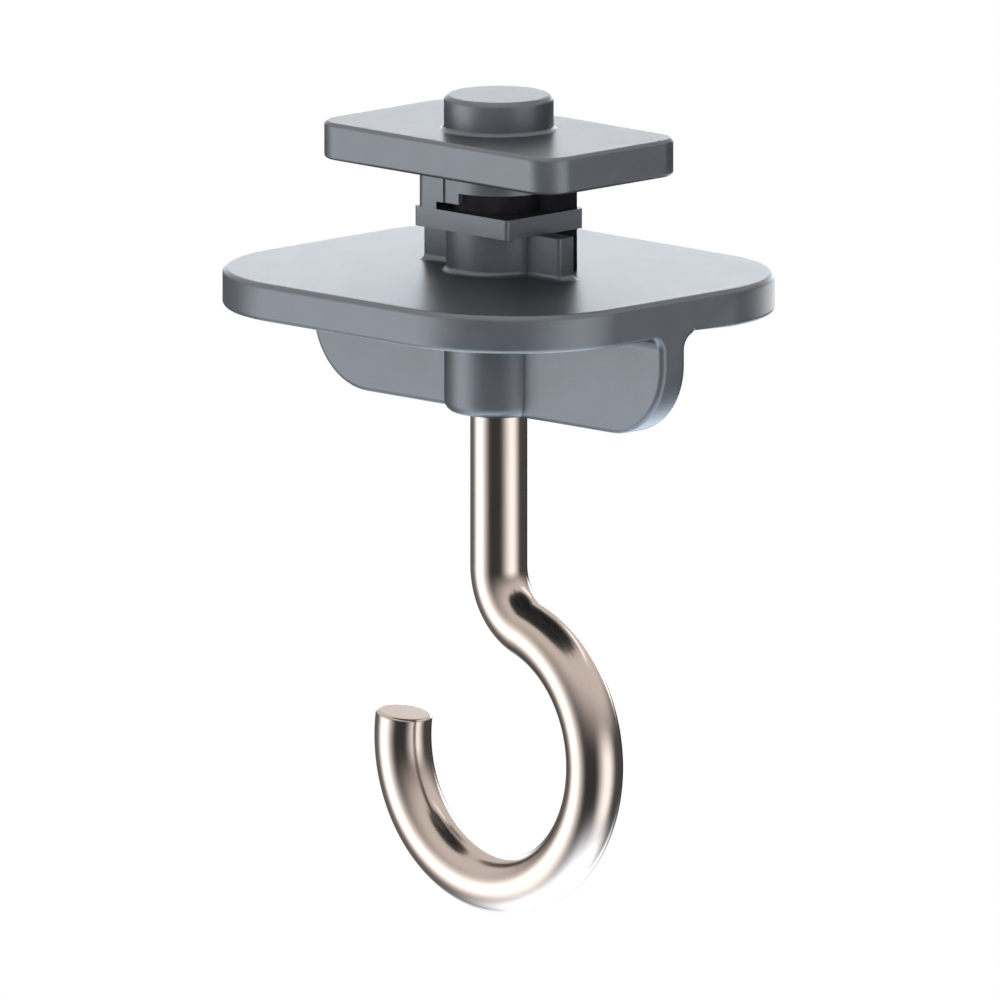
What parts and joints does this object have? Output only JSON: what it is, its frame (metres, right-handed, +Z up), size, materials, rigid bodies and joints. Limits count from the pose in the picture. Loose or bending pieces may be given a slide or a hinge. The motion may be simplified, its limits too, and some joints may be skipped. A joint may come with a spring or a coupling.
{
  "type": "track lighting hook",
  "caption": "Grey moulded quarter-turn adapter for a ceiling light track, with locking plate, neck, base plate and grip fin, and a bright steel wire hook below.",
  "frame": {"origin": "on the turning axis, on the top face of the base plate", "axes": "+Z up along the shank towards the track, +X along the locking plate, the fin and the hook's plane"},
  "size_m": [0.0348, 0.0318, 0.0583],
  "materials": {
    "adapter": "satin, fine grain",
    "key": "black, matt",
    "wire": "bright nickel plate"
  },
  "bodies": {
    "root": {"adapter_body": "adapter", "key": "key", "hook": "wire"}
  },
  "joints": []
}
